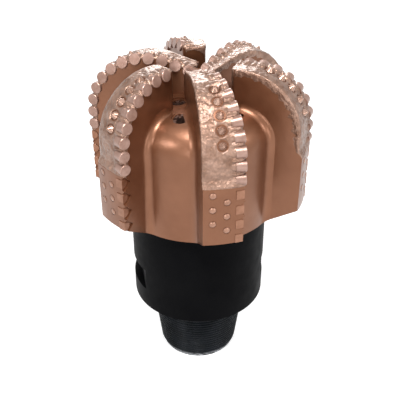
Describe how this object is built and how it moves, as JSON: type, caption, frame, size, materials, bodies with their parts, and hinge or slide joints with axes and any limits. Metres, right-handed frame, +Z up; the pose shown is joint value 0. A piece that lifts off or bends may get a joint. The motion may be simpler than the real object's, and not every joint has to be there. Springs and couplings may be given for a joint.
{
  "type": "fixed-cutter drill bit",
  "caption": "Fixed-cutter rock drill bit: blades with brazed round cutters and gauge pads, jet nozzles between them, black shank and tapered pin, standing on its pin",
  "frame": {"origin": "centre of the pin's end face, which is the bottom centre of the box", "axes": "+Z up along the bit's axis from the pin to the crown; a long blade points along -Y"},
  "size_m": [0.3588, 0.3746, 0.5879],
  "materials": {
    "crown_copper": "satin metallic copper paint over the cast crown",
    "cutter_copper": "thin copper paint over sintered cutters",
    "stud_copper": "copper paint over ground carbide",
    "button_copper": "copper paint over flat carbide buttons",
    "nozzle_metal": "dull carbide nozzle with a little copper overspray",
    "seal_rubber": "matt black rubber",
    "shank_black": "satin black paint on turned steel",
    "weld_black": "dressed weld under black paint"
  },
  "bodies": {
    "root": {"crown_body": "crown_copper", "pin_shank": "shank_black", "weld_ring": "weld_black", "face_cutters_1": "cutter_copper", "gauge_cutters_1": "cutter_copper", "cone_studs_1": "stud_copper", "gauge_buttons_1": "button_copper", "face_cutters_2": "cutter_copper", "gauge_cutters_2": "cutter_copper", "cone_studs_2": "stud_copper", "gauge_buttons_2": "button_copper", "face_cutters_3": "cutter_copper", "gauge_cutters_3": "cutter_copper", "cone_studs_3": "stud_copper", "gauge_buttons_3": "button_copper", "face_cutters_4": "cutter_copper", "gauge_cutters_4": "cutter_copper", "cone_studs_4": "stud_copper", "gauge_buttons_4": "button_copper", "face_cutters_5": "cutter_copper", "gauge_cutters_5": "cutter_copper", "cone_studs_5": "stud_copper", "gauge_buttons_5": "button_copper", "face_cutters_6": "cutter_copper", "gauge_cutters_6": "cutter_copper", "cone_studs_6": "stud_copper", "gauge_buttons_6": "button_copper", "jet_nozzle_1": "nozzle_metal", "jet_nozzle_2": "nozzle_metal", "jet_nozzle_3": "nozzle_metal", "jet_nozzle_4": "nozzle_metal", "jet_nozzle_5": "nozzle_metal", "jet_nozzle_6": "nozzle_metal", "jet_nozzle_7": "nozzle_metal", "jet_nozzle_8": "nozzle_metal", "jet_nozzle_9": "nozzle_metal", "nozzle_seals": "seal_rubber"}
  },
  "joints": []
}
